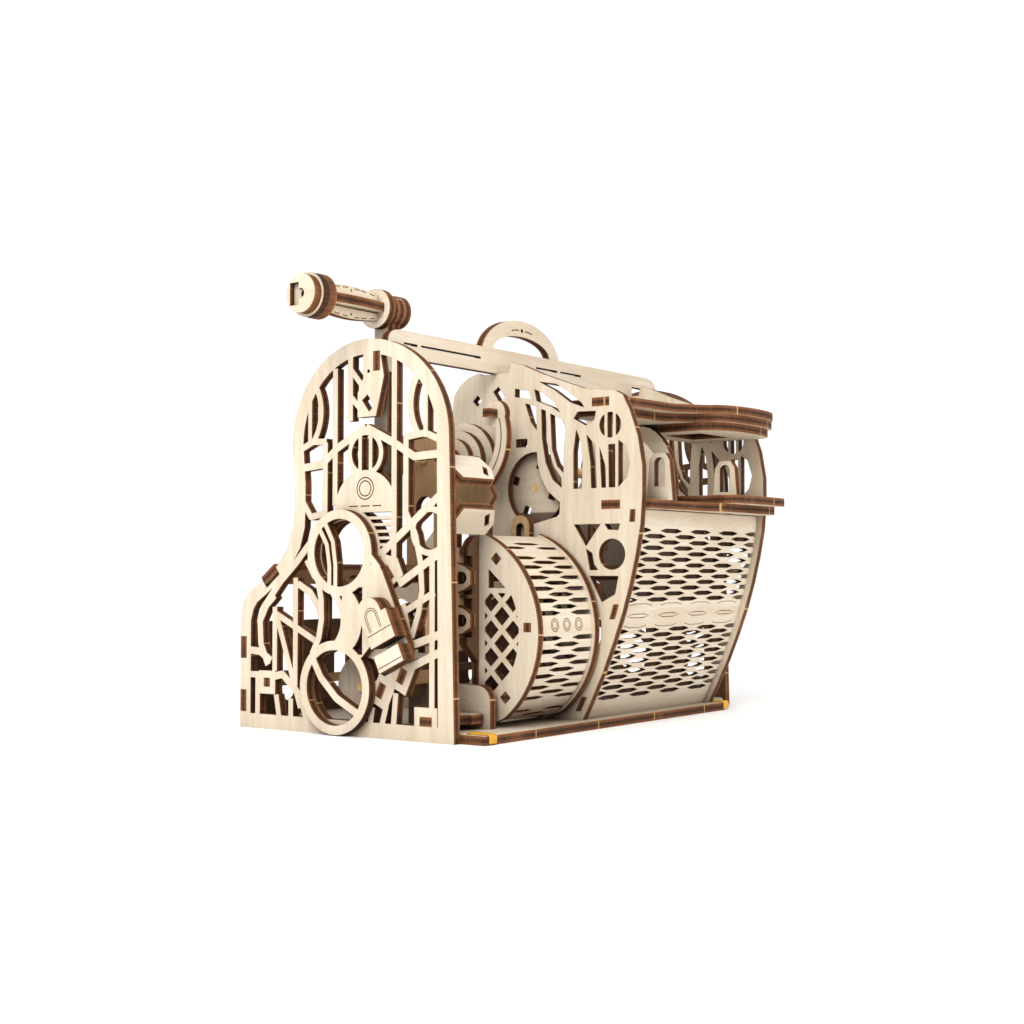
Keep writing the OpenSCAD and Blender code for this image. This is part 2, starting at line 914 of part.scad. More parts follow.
// diamond openings between two families of leaning bars
module cheek_crossbars_gaps() {
  difference() {
    translate([-12, 12])
      square([24, 40]);
    for (i = [-4 : 6]) {
      bar([-12, 4 + 9 * i], [14, 30 + 9 * i], 1.9);
      bar([-12, 30 + 9 * i], [14, 4 + 9 * i], 1.9);
    }
  }
}

module drum_cheeks() {
  color([0.95, 0.88, 0.72]) {
    sheet_yz(drum_x0)
      cheek_shape();
    sheet_yz(drum_x1)
      cheek_shape();
  }
}

// lens rows over and under the plain band: angle above the horizontal, and row number
upper_rows = concat([for (k = [0 : 10]) [11 + 3.55 * k, k]], [[55.5, 12], [59.8, 13]]);
lower_rows = concat([for (k = [0 : 10]) [-3 - 3.63 * k, k]], [[-50, 12], [-54.2, 13]]);

function drum_places(row) = row % 2 == 0
  ? [strip_mid - lens_pitch / 2, strip_mid + lens_pitch / 2]
  : [strip_mid];

// one set of lens rows, each cut straight towards the centre line of the drum
module drum_rows(rows) {
  for (row = rows)
    translate([0, drum_cy, drum_cz])
      rotate([-row[0], 0, 0])
        lens_row(drum_places(row[1]), 0, strip_r - 4, strip_r + 4);
}

module drum_strip() {
  color([0.95, 0.88, 0.73])
    difference() {
      sheet_yz(drum_x0 + sheet + 0.02, drum_w - 0.04)
        difference() {
          intersection() {
            translate([drum_cy, drum_cz])
              circle(strip_r);
            translate([-20, 5.3])
              square([20 + door_y - 0.02, 72]);
          }
          translate([drum_cy, drum_cz])
            circle(strip_r - strip_t);
          drum_bottom_cut();
        }
      placed() {
        drum_rows(upper_rows);
        drum_rows(lower_rows);
      }
    }
}

door_x0 = 20.5;

module drum_door() {
  color([0.95, 0.88, 0.72])
    sheet_xz(door_y)
      difference() {
        polygon(concat(
          [[drum_x1 + sheet, 4], [drum_x1 + sheet, 66]],
          arc_points([door_x0 + 6, 60], 6, 6, 90, 180, 8),
          [[door_x0, 30], [drum_x0, 24], [drum_x0, 4]]
        ));
        for (z = [33, 47])
          translate([door_x0 - 1, z - 0.6])
            square([3 + gap, 10 + 2.9]);
        // the opening coins fall through into the drum
        stadium([34.5, 49], [50.5, 49], 9);
      }
}

module drum_bars() {
  color([0.7, 0.55, 0.36])
    for (p = drum_bar_places)
      placed()
        translate([drum_x0, p[0], p[1]])
          rotate([p[2], 0, 0])
            translate([0, -sheet / 2, -sheet / 2])
              cube([drum_x1 + sheet - drum_x0, sheet, sheet]);
}

post_y = 14.2;

module hasp_post() {
  color([0.9, 0.82, 0.64])
    sheet_xz(post_y)
      difference() {
        translate([near_in, 28])
          square([bracket_x + sheet + 2 - near_in, 34]);
        for (z = [33, 47])
          translate([door_x0 - 2, z + 2.5])
            square([sheet + 0.04, 5.04]);
      }
}

module hasp_staples() {
  color([0.95, 0.88, 0.72])
    for (z = [33, 47])
      sheet_yz(door_x0 - 2 + 0.02)
        translate([post_y, z + 5])
          rotate(90)
            staple_shape(10, 6, 5, 1);
}

module drum_catch() {
  color([0.95, 0.88, 0.72])
    sheet_yz(rib_near_x - sheet)
      difference() {
        stadium([19, 64], [19, 70], 8);
        stadium([19, 66], [19, 69.5], 3.4);
      }
}

// ---------- lock lever ----------

module lock_plate_shape() {
  ring(lock_hub, 11.2, 14.3);
  ring(lock_foot, 12.4, 15.5);
  stadium([31, 52], [20.5, 30], 9);
  // two curved spokes across the upper ring and one across the lower
  intersection() {
    translate(lock_hub)
      circle(12);
    union() {
      bent_bar([[56, 70], [51.5, 63], [50.3, 56], [50.3, 48]], 1.7);
      bent_bar([[53.5, 72], [48.8, 64], [47.6, 56], [47.6, 48]], 1.7);
    }
  }
  intersection() {
    translate(lock_foot)
      circle(13);
    bent_bar([[60, 29], [54, 19], [47, 12.5], [37, 7.5]], 2.6);
  }
  // waist between the rings
  bent_bar([[55.5, 51.5], [54, 45], [53.8, 38], [55, 32], [58, 26.5]], 2.4);
  difference() {
    polygon([
      [44.5, 46.5], [38, 49], [32, 56], [32, 60], [28, 56], [26.6, 46], [32, 30], [36, 26],
      [45.5, 30.5]
    ]);
    translate([54.5, 38])
      circle(11.6);
    polygon(concat(arc_points([48, 38], 12.2, 12.2, 118, 242, 12), [[35.6, 27], [35.6, 49]]));
  }
  arc_bar([54.5, 38], 10.6, 122, 238, 2.4);
}

module lock_plate() {
  color([0.96, 0.9, 0.75])
    sheet_yz(-sheet - gap)
      lock_plate_shape();
}

module lock_hub_ring() {
  color([0.9, 0.82, 0.64])
    sheet_yz(0.02 - gap, sheet + 2 * gap - 0.04)
      ring(lock_hub, 10.8, hub_r);
}

module lock_retainer() {
  color([0.9, 0.82, 0.64])
    sheet_yz(near_in + gap)
      union() {
        ring(lock_hub, 10.8, 14.8);
        translate([lock_hub[0] - 12, lock_hub[1] - 4])
          square([5, 8]);
      }
}

grip_mid = [22.5, 34];
grip_turn = -25;

// the padlock-shaped grip, two layers thick
module lock_grip() {
  color([0.97, 0.91, 0.77])
    sheet_yz(-3 * sheet - gap - 0.02, 2 * sheet)
      difference() {
        union() {
          stadium([27.5, 41], [26, 38.5], 9.6);
          translate(grip_mid)
            rotate(grip_turn)
              translate([-5.5, -11])
                square([11, 18]);
        }
        translate(grip_mid)
          rotate(grip_turn)
            translate([0, -4])
              square([12, 2.6], center = true);
      }
}

module lock_wheel() {
  color([0.95, 0.89, 0.74])
    sheet_yz(9)
      difference() {
        translate(wheel_c)
          circle(11);
        translate(wheel_c)
          circle(axle_r + run_fit);
        slot(wheel_c + [-2.5, 5], [sheet, 4], 30);
      }
}

module wheel_axle() {
  color([0.8, 0.66, 0.42])
    placed()
      translate([8, wheel_c[0], wheel_c[1]])
        rotate([0, 90, 0])
          cylinder(r = axle_r, h = 12);
}

module lock_bracket() {
  color([0.92, 0.84, 0.66])
    sheet_yz(14)
      difference() {
        polygon([[38.5, 3], [56, 3], [56, 14], [51, 24], [42, 24], [38.5, 14]]);
        translate(wheel_c)
          circle(axle_r + 0.02);
      }
}

// ---------- rubber bands and corner brace ----------

// a rubber band looped round a corner of the base plate
module base_band(x) {
  color([0.85, 0.62, 0.1])
    placed()
      translate([x, -10, 0])
        difference() {
          translate([-2, -0.6, 0.1])
            cube([4, 9.6, sheet + 0.9]);
          translate([-3, 0, -1])
            cube([6, 20, sheet + 1.02]);
        }
}

module base_bands() {
  base_band(6.6);
  base_band(157.8);
}

// the small sheet that squares the front corner of the near panel
module corner_brace() {
  color([0.9, 0.82, 0.64])
    sheet_xy(5)
      difference() {
        union() {
          translate([near_in, 4])
            square([bracket_x - near_in - gap, 14]);
          translate([0, 9.02])
            square([near_in + 1, 4.96]);
        }
        translate([11, 4])
          circle(3);
      }
}

// ---------- lever and shafts ----------

module rod_x(x0, x1, y, z, r) {
  placed()
    translate([x0, y, z])
      rotate([0, 90, 0])
        cylinder(r = r, h = x1 - x0);
}

module main_shaft() {
  color([0.8, 0.66, 0.42])
    rod_x(arm_x, rib_far_x + sheet, shaft_y, shaft_z, shaft_r);
}

arm_half = 2.9;

module arm_shape() {
  difference() {
    union() {
      bar([shaft_y, shaft_z], [shaft_y, grip_z], 2 * arm_half);
      translate([shaft_y, shaft_z])
        circle(8);
      translate([shaft_y, grip_z])
        circle(5.4);
    }
    translate([shaft_y, shaft_z])
      circle(shaft_r + 0.02);
    translate([shaft_y, grip_z])
      circle(spindle_r + 0.02);
    stadium([shaft_y, shaft_z + 14], [shaft_y, shaft_z + 32], 1.6);
  }
}

module lever_arm_front() {
  color([0.9, 0.82, 0.64])
    sheet_yz(arm_x)
      arm_shape();
}

module lever_arm_back() {
  color([0.9, 0.82, 0.64])
    sheet_yz(arm_x + sheet)
      arm_shape();
}

module disc_x(x, thick, c, r, bore) {
  placed()
    translate([x, c[0], c[1]])
      rotate([0, 90, 0])
        difference() {
          cylinder(r = r, h = thick);
          translate([0, 0, -1])
            cylinder(r = bore, h = thick + 2);
        }
}

grip_c = [shaft_y, grip_z];

// the disc glued behind the top of the arm
module arm_collar() {
  color([0.45, 0.3, 0.18])
    disc_x(arm_x + 2 * sheet + 0.02, sheet, grip_c, 5.5, spindle_r + 0.02);
}

flange_x = arm_x - gap - sheet;
slat_x0 = flange_x - gap - slat_len;

module grip_spindle() {
  color([0.8, 0.66, 0.42])
    rod_x(slat_x0 - 6, arm_x + 3 * sheet, shaft_y, grip_z, spindle_r);
}

module grip_flange() {
  color([0.96, 0.9, 0.76])
    disc_x(flange_x, sheet, grip_c, 6.6, spindle_r + run_fit);
}

// four slats with a bulging middle round the spindle
module grip_slats() {
  color([0.94, 0.87, 0.71])
    for (turn = [0 : 90 : 270])
      placed()
        translate([slat_x0, shaft_y, grip_z])
          rotate([turn, 0, 0])
            translate([0, 0, 2])
              rotate([90, 0, 0])
                translate([0, 0, -1.5])
                  linear_extrude(sheet)
                    polygon(concat(
                      [[0, 0], [slat_len + gap, 0], [slat_len + gap, 2.2]],
                      [for (i = [0 : 12]) [slat_len * (1 - i / 12), 2.2 + 1.1 * sin(15 * i)]]
                    ));
}

module grip_cap() {
  color([0.96, 0.9, 0.76])
    difference() {
      union() {
        disc_x(slat_x0 - sheet, sheet, grip_c, cap_r, spindle_r + run_fit);
        disc_x(slat_x0 - 2 * sheet, sheet, grip_c, cap_r - 0.1, spindle_r + run_fit);
        disc_x(slat_x0 - 3 * sheet, sheet, grip_c, cap_r - 1, spindle_r + run_fit);
      }
      placed()
        translate([slat_x0 - 3 * sheet - 1, shaft_y + 0.8, grip_z - 3.6])
          cube([sheet, 3.8, 7.2]);
    }
}

disc_x0 = 42;

module shaft_discs() {
  color([0.93, 0.85, 0.68]) {
    disc_x(disc_x0, sheet, [shaft_y, shaft_z], 4.5, shaft_r + 0.02);
    disc_x(disc_x0 + sheet + 0.02, sheet, [shaft_y, shaft_z], 8, shaft_r + 0.02);
    disc_x(disc_x0 + 2 * sheet + 0.04, sheet, [shaft_y, shaft_z], 11, shaft_r + 0.02);
  }
}

cam_r = 14;

// the hooked cam behind the discs, with a bite out of its rim
module shaft_cam() {
  color([0.95, 0.88, 0.72])
    placed()
      translate([disc_x0 + 3 * sheet + 0.06, shaft_y, shaft_z])
        rotate([90, 0, 90])
          linear_extrude(sheet)
            difference() {
              circle(cam_r);
              circle(shaft_r + 0.02);
              rotate(215)
                stadium([cam_r, 0], [cam_r - 4, 3], 5);
              for (a = [50, 140, 320])
                rotate(a)
                  slot([8.5, 0], [sheet, sheet]);
            }
}

// ---------- gears ----------

function polar(r, a) = [r * cos(a), r * sin(a)];

// angle an involute has turned away from its base point when it reaches radius r
function involute_turn(base_r, r) =
  let (k = sqrt(max(0, (r / base_r) * (r / base_r) - 1))) k * 180 / PI - atan(k);

module gear_shape(n) {
  pitch_r = gear_m * n / 2;
  base_r = pitch_r * cos(press_a);
  root_r = pitch_r - 1.05 * gear_m;
  tip_r = pitch_r + 0.8 * gear_m;
  start_r = max(base_r, root_r);
  half_tooth = 90 / n - 1.1 + involute_turn(base_r, pitch_r);
  flank = [for (i = [0 : 5]) let (r = start_r + (tip_r - start_r) * i / 5)
    [r, half_tooth - involute_turn(base_r, r)]];
  circle(root_r);
  for (i = [0 : n - 1])
    rotate(360 * i / n)
      polygon(concat(
        [polar(root_r * 0.9, -half_tooth)],
        [for (p = flank) polar(p[0], -p[1])],
        [for (j = [5 : -1 : 0]) polar(flank[j][0], flank[j][1])],
        [polar(root_r * 0.9, half_tooth)]
      ));
}

module drive_gear() {
  color([0.93, 0.85, 0.68])
    placed()
      translate([gear_x, shaft_y, shaft_z])
        rotate([90, 0, 90])
          linear_extrude(sheet)
            difference() {
              rotate(counter_dir)
                gear_shape(gear_big_n);
              circle(shaft_r + 0.02);
              for (a = [0 : 90 : 270])
                rotate(a)
                  slot([7.5, 0], [sheet, sheet]);
            }
}

module counter_gear() {
  color([0.93, 0.85, 0.68])
    placed()
      translate([gear_x, counter_y, counter_z])
        rotate([90, 0, 90])
          linear_extrude(sheet)
            difference() {
              rotate(counter_dir + 180 + 180 / gear_small_n)
                gear_shape(gear_small_n);
              circle(axle_r + 0.02);
            }
}

module counter_shaft() {
  color([0.8, 0.66, 0.42])
    rod_x(rib_near_x + sheet + 1, rib_far_x + sheet, counter_y, counter_z, axle_r);
}

module coin_wheel() {
  color([0.94, 0.87, 0.71])
    placed()
      translate([gear_x - sheet - 3, counter_y, counter_z])
        rotate([90, 0, 90])
          linear_extrude(sheet)
            difference() {
              circle(13);
              circle(axle_r + 0.02);
              for (a = [20 : 90 : 290])
                rotate(a)
                  slot([8.5, 0], [sheet, sheet]);
            }
}

side_panel_near();
side_panel_far();
base_plate();
back_plate();
back_slope();
top_rail();
rib_near();
rib_far();
rib_mid();
bay_mesh();
bay_shelf();
bay_lid();
shelf_staples();
canopy_top();
canopy_middle();
canopy_peak();
back_beam();
waist_beam();
foot_beams();
nose_upper();
nose_lower();
chute_cheek();
bearing_plate();
track();
track_peg();
drum_bracket();
drum_axle();
hasp_post();
hasp_staples();
drum_catch();
lock_bracket();
wheel_axle();
base_bands();
corner_brace();
main_shaft();
lever_arm_front();
lever_arm_back();
arm_collar();
grip_spindle();
shaft_discs();
shaft_cam();
drive_gear();
grip_flange();
grip_slats();
grip_cap();
counter_shaft();
coin_wheel();
counter_gear();
lock_plate();
lock_hub_ring();
lock_retainer();
lock_grip();
lock_wheel();
drum_cheeks();
drum_strip();
drum_door();
drum_bars();
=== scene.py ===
"""Laser-cut plywood money box shaped like an old cash register, shown on a white studio floor."""

import math
import zlib

import bmesh
import bpy
import numpy as np
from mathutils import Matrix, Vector


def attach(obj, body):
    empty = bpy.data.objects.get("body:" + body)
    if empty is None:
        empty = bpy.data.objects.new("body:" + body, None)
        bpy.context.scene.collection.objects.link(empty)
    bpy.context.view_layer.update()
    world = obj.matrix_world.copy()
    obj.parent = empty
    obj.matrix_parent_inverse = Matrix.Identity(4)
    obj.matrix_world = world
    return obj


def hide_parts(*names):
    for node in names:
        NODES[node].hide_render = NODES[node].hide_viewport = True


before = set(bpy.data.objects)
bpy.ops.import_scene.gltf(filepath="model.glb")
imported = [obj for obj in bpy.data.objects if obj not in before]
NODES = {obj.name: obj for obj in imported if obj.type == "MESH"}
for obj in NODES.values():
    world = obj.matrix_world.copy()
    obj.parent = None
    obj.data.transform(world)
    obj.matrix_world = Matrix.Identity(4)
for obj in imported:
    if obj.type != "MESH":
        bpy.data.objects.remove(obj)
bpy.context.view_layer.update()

MM = 0.001
X_AXIS = Vector((1, 0, 0))
Y_AXIS = Vector((0, 1, 0))
Z_AXIS = Vector((0, 0, 1))


def row(x, y, z):
    """A point given in the working frame of the CAD modules, in mm, as a point of the row frame."""
    return Vector((x - 90, y - 47.75, z)) * MM


# ---------- node graph helper ----------


class Graph:
    """A new material and short ways to add nodes to it."""

    def __init__(self, name):
        self.material = bpy.data.materials.new(name)
        self.material.use_nodes = True
        self.tree = self.material.node_tree
        self.tree.nodes.clear()

    def feed(self, socket, value):
        if isinstance(value, bpy.types.NodeSocket):
            self.tree.links.new(value, socket)
        else:
            socket.default_value = value

    def node(self, kind, inputs=None, **settings):
        made = self.tree.nodes.new(kind)
        for key, value in settings.items():
            setattr(made, key, value)
        for key, value in (inputs or {}).items():
            self.feed(made.inputs[key], value)
        return made

    def attribute(self, name, output="Fac"):
        return self.node("ShaderNodeAttribute", attribute_name=name).outputs[output]

    def math(self, operation, a, b=0.0, clamp=False):
        return self.node("ShaderNodeMath", {0: a, 1: b}, operation=operation, use_clamp=clamp).outputs[0]

    def stretch(self, vector, along, across, through=0.0):
        return self.node(
            "ShaderNodeVectorMath", {0: vector, 1: (along, across, through)}, operation="MULTIPLY"
        ).outputs[0]

    def noise(self, vector, detail=2.0, roughness=0.5, distortion=0.0):
        return self.node(
            "ShaderNodeTexNoise",
            {
                "Vector": vector, "Scale": 1.0, "Detail": detail,
                "Roughness": roughness, "Distortion": distortion,
            },
        ).outputs["Fac"]

    def span(self, value, low, high, to_low=0.0, to_high=1.0):
        """value between low and high, spread to to_low and to_high."""
        return self.node(
            "ShaderNodeMapRange",
            {"Value": value, "From Min": low, "From Max": high, "To Min": to_low, "To Max": to_high},
            clamp=True,
        ).outputs[0]

    def mix(self, factor, a, b, blend="MIX"):
        return self.node(
            "ShaderNodeMix", {0: factor, 6: a, 7: b}, data_type="RGBA", blend_type=blend
        ).outputs[2]

    def ramp(self, value, stops):
        made = self.node("ShaderNodeValToRGB", {0: value})
        elements = made.color_ramp.elements
        while len(elements) < len(stops):
            elements.new(0.5)
        for element, (place, colour) in zip(elements, stops):
            element.position = place
            element.color = colour
        return made.outputs[0]

    def edge_mask(self, radius):
        """1 on the very edge of a face and 0 a radius away from it."""
        soft = self.node("ShaderNodeBevel", {"Radius": radius}, samples=6).outputs[0]
        true = self.node("ShaderNodeNewGeometry").outputs["True Normal"]
        match = self.node("ShaderNodeVectorMath", {0: soft, 1: true}, operation="DOT_PRODUCT")
        return self.span(match.outputs["Value"], 0.72, 0.995, 1.0, 0.0)

    def paint_recess_shade(self, colour, dark, reach=30 * MM):
        """Darkens the places that nearby surfaces close in, from ambient occlusion: painted shade in
        recesses.
        """
        openness = self.node("ShaderNodeAmbientOcclusion", {"Distance": reach}, samples=6).outputs["AO"]
        return self.mix(self.span(openness, 0.12, 0.5, 0.92, 0.0), colour, dark)

    def paint_bay_shade(self, colour, dark):
        """Painted shade: darkens, by place alone, what lies inside the lattice bay, behind the bent sheet
        and under the shelf, outer faces there included.
        """
        place = self.node("ShaderNodeTexCoord").outputs["Object"]
        x, y, z = self.node("ShaderNodeSeparateXYZ", {0: place}).outputs
        # the bent sheet leans forward by a third of its height
        behind = self.math("ADD", y, self.math("MULTIPLY", z, 0.33))
        inside = self.math(
            "MULTIPLY", self.span(x, -0.0252, -0.0245), self.span(x, 0.0626, 0.0632, 1.0, 0.0)
        )
        inside = self.math("MULTIPLY", inside, self.span(z, 0.0748, 0.0754, 1.0, 0.0))
        inside = self.math("MULTIPLY", inside, self.span(behind, -0.0478, -0.0440))
        return self.mix(self.math("MULTIPLY", inside, 0.86), colour, dark)

    def bump(self, height, strength, distance):
        return self.node(
            "ShaderNodeBump", {"Height": height, "Strength": strength, "Distance": distance}
        ).outputs[0]

    def finish(self, inputs):
        shader = self.node("ShaderNodeBsdfPrincipled", inputs).outputs[0]
        self.node("ShaderNodeOutputMaterial", {"Surface": shader})
        return self.material


def shade(r, g, b):
    """A colour given as it shows on a screen, 0 to 255, as linear light."""
    return tuple(((c / 255 + 0.055) / 1.055) ** 2.4 if c > 10 else c / 3295 for c in (r, g, b)) + (1.0,)


# ---------- materials ----------


def birch_face(name, light, deep):
    """The sanded veneer of a plywood sheet: fibres, figure, flecks and a scorched line along each cut,
    with painted shade inside the bay and in recesses.
    """
    g = Graph(name)
    sheet = g.attribute("sheet", "Vector")
    tone = g.attribute("tone")
    fibre = g.noise(g.stretch(sheet, 160, 3400), 3, 0.65)
    figure = g.noise(g.stretch(sheet, 16, 210), 4, 0.55, 1.1)
    cloud = g.noise(g.stretch(sheet, 38, 70), 3, 0.6)
    fleck = g.noise(g.stretch(sheet, 420, 5200), 1, 0.4)
    smoke = g.noise(g.stretch(sheet, 130, 130), 2, 0.6)
    growth = g.math("ADD", g.math("MULTIPLY", figure, 0.6), g.math("MULTIPLY", fibre, 0.4))
    growth = g.math("ADD", growth, g.math("MULTIPLY", g.math("SUBTRACT", tone, 0.5), 0.12))
    colour = g.mix(g.span(growth, 0.38, 0.66), light, deep)
    colour = g.mix(g.span(cloud, 0.45, 0.75, 0.0, 0.35), colour, deep)
    colour = g.mix(g.span(fleck, 0.66, 0.74, 0.0, 0.4), colour, shade(176, 132, 84))
    edge = g.edge_mask(0.55 * MM)
    haze = g.math("MULTIPLY", g.math("MULTIPLY", edge, g.span(smoke, 0.35, 0.7, 0.1, 0.75)), 0.55)
    colour = g.mix(haze, colour, shade(170, 118, 66))
    line = g.math("POWER", edge, 7.0)
    colour = g.mix(g.math("MULTIPLY", line, 0.6), colour, shade(96, 56, 30))
    # painted shade inside the lattice bay, laid on by place
    colour = g.paint_bay_shade(colour, shade(72, 47, 29))
    # painted shade in recesses, from ambient occlusion
    colour = g.paint_recess_shade(colour, shade(74, 48, 29))
    height = g.math("ADD", g.math("MULTIPLY", fibre, 0.7), g.math("MULTIPLY", fleck, -0.3))
    return g.finish({
        "Base Color": colour,
        "Roughness": g.span(fibre, 0.3, 0.7, 0.52, 0.68),
        "Specular IOR Level": 0.32,
        "Normal": g.bump(height, 0.28, 0.05 * MM),
    })


def charred_edge(name):
    """The laser-cut side of a sheet: three plies, burn streaks and the pale tabs left by the cut, with
    painted shade in recesses.
    """
    g = Graph(name)
    sheet = g.attribute("sheet", "Vector")
    along, across, ply = g.node("ShaderNodeSeparateXYZ", {0: sheet}).outputs
    wobble = g.math("MULTIPLY", g.math("SUBTRACT", g.noise(g.stretch(sheet, 260, 260), 2), 0.5), 0.10)
    layer = g.math("ADD", ply, wobble)
    colour = g.ramp(layer, [
        (0.0, shade(150, 100, 60)),
        (0.07, shade(118, 74, 44)),
        (0.30, shade(96, 58, 34)),
        (0.37, shade(58, 34, 21)),
        (0.63, shade(62, 37, 23)),
        (0.70, shade(104, 64, 38)),
        (0.93, shade(122, 77, 46)),
        (1.0, shade(154, 104, 64)),
    ])
    streak = g.noise(g.stretch(sheet, 2300, 2300), 2, 0.7)
    colour = g.mix(g.span(streak, 0.52, 0.78, 0.0, 0.42), colour, shade(150, 102, 62))
    colour = g.mix(g.span(streak, 0.46, 0.26, 0.0, 0.5), colour, shade(38, 22, 14))
    soot = g.noise(g.stretch(sheet, 85, 85), 3, 0.6)
    colour = g.mix(g.span(soot, 0.52, 0.75, 0.0, 0.55), colour, shade(44, 26, 17))
    colour = g.mix(g.span(soot, 0.44, 0.28, 0.0, 0.3), colour, shade(158, 108, 66))
    # tabs: narrow pale bars across the thickness, every few centimetres along the cut
    walk = g.math("ADD", g.math("MULTIPLY", along, 27.0), g.math("MULTIPLY", across, 19.0))
    tab = g.math("LESS_THAN", g.math("FRACT", walk), 0.014)
    colour = g.mix(g.math("MULTIPLY", tab, 0.75), colour, shade(198, 156, 106))
    # painted shade in recesses, from ambient occlusion
    colour = g.paint_recess_shade(colour, shade(30, 18, 11))
    return g.finish({
        "Base Color": colour,
        "Roughness": g.span(streak, 0.3, 0.7, 0.7, 0.88),
        "Specular IOR Level": 0.2,
        "Normal": g.bump(g.math("ADD", streak, g.math("MULTIPLY", layer, 0.4)), 0.45, 0.08 * MM),
    })


def birch_dowel(name):
    """A turned wooden stick: straight fine grain along its length and darker end grain."""
    g = Graph(name)
    sheet = g.attribute("sheet", "Vector")
    fibre = g.noise(g.stretch(sheet, 130, 2600, 2600), 3, 0.6)
    figure = g.noise(g.stretch(sheet, 24, 420, 420), 3, 0.5, 0.8)
    colour = g.mix(g.span(fibre, 0.35, 0.7), shade(226, 196, 146), shade(188, 148, 98))
    colour = g.mix(g.span(figure, 0.5, 0.75, 0.0, 0.5), colour, shade(160, 118, 74))
    colour = g.mix(g.math("MULTIPLY", g.edge_mask(0.3 * MM), 0.5), colour, shade(120, 80, 46))
    return g.finish({
        "Base Color": colour,
        "Roughness": g.span(fibre, 0.3, 0.7, 0.5, 0.66),
        "Specular IOR Level": 0.35,
        "Normal": g.bump(fibre, 0.3, 0.06 * MM),
    })


def rubber(name):
    """Amber natural rubber, a little dusty, with fine stretch lines."""
    g = Graph(name)
    place = g.node("ShaderNodeTexCoord").outputs["Object"]
    dust = g.noise(g.stretch(place, 900, 900, 900), 3, 0.6)
    lines = g.noise(g.stretch(place, 3500, 400, 400), 2, 0.5)
    colour = g.mix(g.span(dust, 0.35, 0.7), shade(214, 158, 18), shade(196, 138, 22))
    colour = g.mix(g.span(lines, 0.5, 0.8, 0.0, 0.35), colour, shade(232, 190, 70))
    return g.finish({
        "Base Color": colour,
        "Roughness": g.span(dust, 0.3, 0.7, 0.38, 0.55),
        "Specular IOR Level": 0.45,
        "Subsurface Weight": 0.25,
        "Subsurface Radius": (0.0012, 0.0007, 0.0002),
        "Subsurface Scale": 1.0,
        "Normal": g.bump(dust, 0.15, 0.05 * MM),
    })


def burnt_line(name):
    """A line engraved by the laser: brown, deeper in places."""
    g = Graph(name)
    place = g.node("ShaderNodeTexCoord").outputs["Object"]
    depth = g.noise(g.stretch(place, 1400, 1400, 1400), 3, 0.6)
    colour = g.mix(g.span(depth, 0.3, 0.7), shade(104, 64, 36), shade(58, 34, 20))
    return g.finish({
        "Base Color": colour,
        "Roughness": g.span(depth, 0.3, 0.7, 0.75, 0.9),
        "Specular IOR Level": 0.2,
        "Normal": g.bump(depth, 0.3, 0.05 * MM),
    })


FACE = birch_face("birch_face", shade(219, 207, 187), shade(200, 182, 156))
# a darker copy of the birch face: painted shade for the sheets inside the box
FACE_INNER_SHADE = birch_face("birch_face_inner_shade", shade(196, 164, 124), shade(166, 130, 90))
# a dark copy of the birch face: painted shade for the inner sides of outer sheets
FACE_PAINTED_SHADE = birch_face("birch_face_painted_shade", shade(104, 76, 50), shade(76, 52, 33))
EDGE = charred_edge("charred_edge")
DOWEL = birch_dowel("birch_dowel")
RUBBER = rubber("amber_rubber")
BURNT = burnt_line("burnt_line")


# ---------- grain and plies of the carried-over sheets ----------


def tilted(y, z):
    return Vector((0, y, z)).normalized()


def degrees(angle):
    return math.cos(math.radians(angle)), math.sin(math.radians(angle))


# sheets that lie in none of the three main planes, with the direction they face
TILTED = {
    "back_slope": tilted(math.sin(math.radians(38)), math.cos(math.radians(38))),
    "waist_beam": tilted(math.cos(math.radians(38)), -math.sin(math.radians(38))),
    "foot_beams": tilted(math.cos(math.radians(25)), math.sin(math.radians(25))),
    "nose_upper": tilted(-math.sin(math.radians(38)), math.cos(math.radians(38))),
    "nose_lower": tilted(math.sin(math.radians(45)), math.cos(math.radians(45))),
}
DOWELS = ["main_shaft", "counter_shaft", "wheel_axle", "drum_axle", "grip_spindle"]
BANDS = ["base_bands"]
DRUM_AXIS = row(0, 21.5, 34)


def mesh_arrays(mesh):
    """Vertex places, triangle corners, polygon of each triangle and polygon normals, as arrays."""
    mesh.calc_loop_triangles()
    places = np.zeros(len(mesh.vertices) * 3, np.float32)
    mesh.vertices.foreach_get("co", places)
    corners = np.zeros(len(mesh.loop_triangles) * 3, np.int32)
    mesh.loop_triangles.foreach_get("vertices", corners)
    normals = np.zeros(len(mesh.polygons) * 3, np.float32)
    mesh.polygons.foreach_get("normal", normals)
    owner = np.zeros(len(mesh.loop_triangles), np.int32)
    mesh.loop_triangles.foreach_get("polygon_index", owner)
    return places.reshape(-1, 3), corners.reshape(-1, 3), owner, normals.reshape(-1, 3)


def solids(places, corners):
    """The number of the separate solid that each vertex belongs to."""
    keys, welded = np.unique(np.round(places * 2e6).astype(np.int64), axis=0, return_inverse=True)
    welded = welded.reshape(-1)
    pairs = np.concatenate([welded[corners[:, [0, 1]]], welded[corners[:, [1, 2]]]])
    label = np.arange(len(keys))
    while True:
        low = np.minimum(label[pairs[:, 0]], label[pairs[:, 1]])
        new = label.copy()
        np.minimum.at(new, label[pairs[:, 0]], low)
        np.minimum.at(new, label[pairs[:, 1]], low)
        new = new[new]
        if (new == label).all():
            break
        label = new
    return np.unique(label[welded], return_inverse=True)[1].reshape(-1)


def scatter(name, number, part):
    """A steady number from 0 to 1 for one solid of one node."""
    return zlib.crc32(f"{name}-{number}-{part}".encode()) % 9973 / 9973


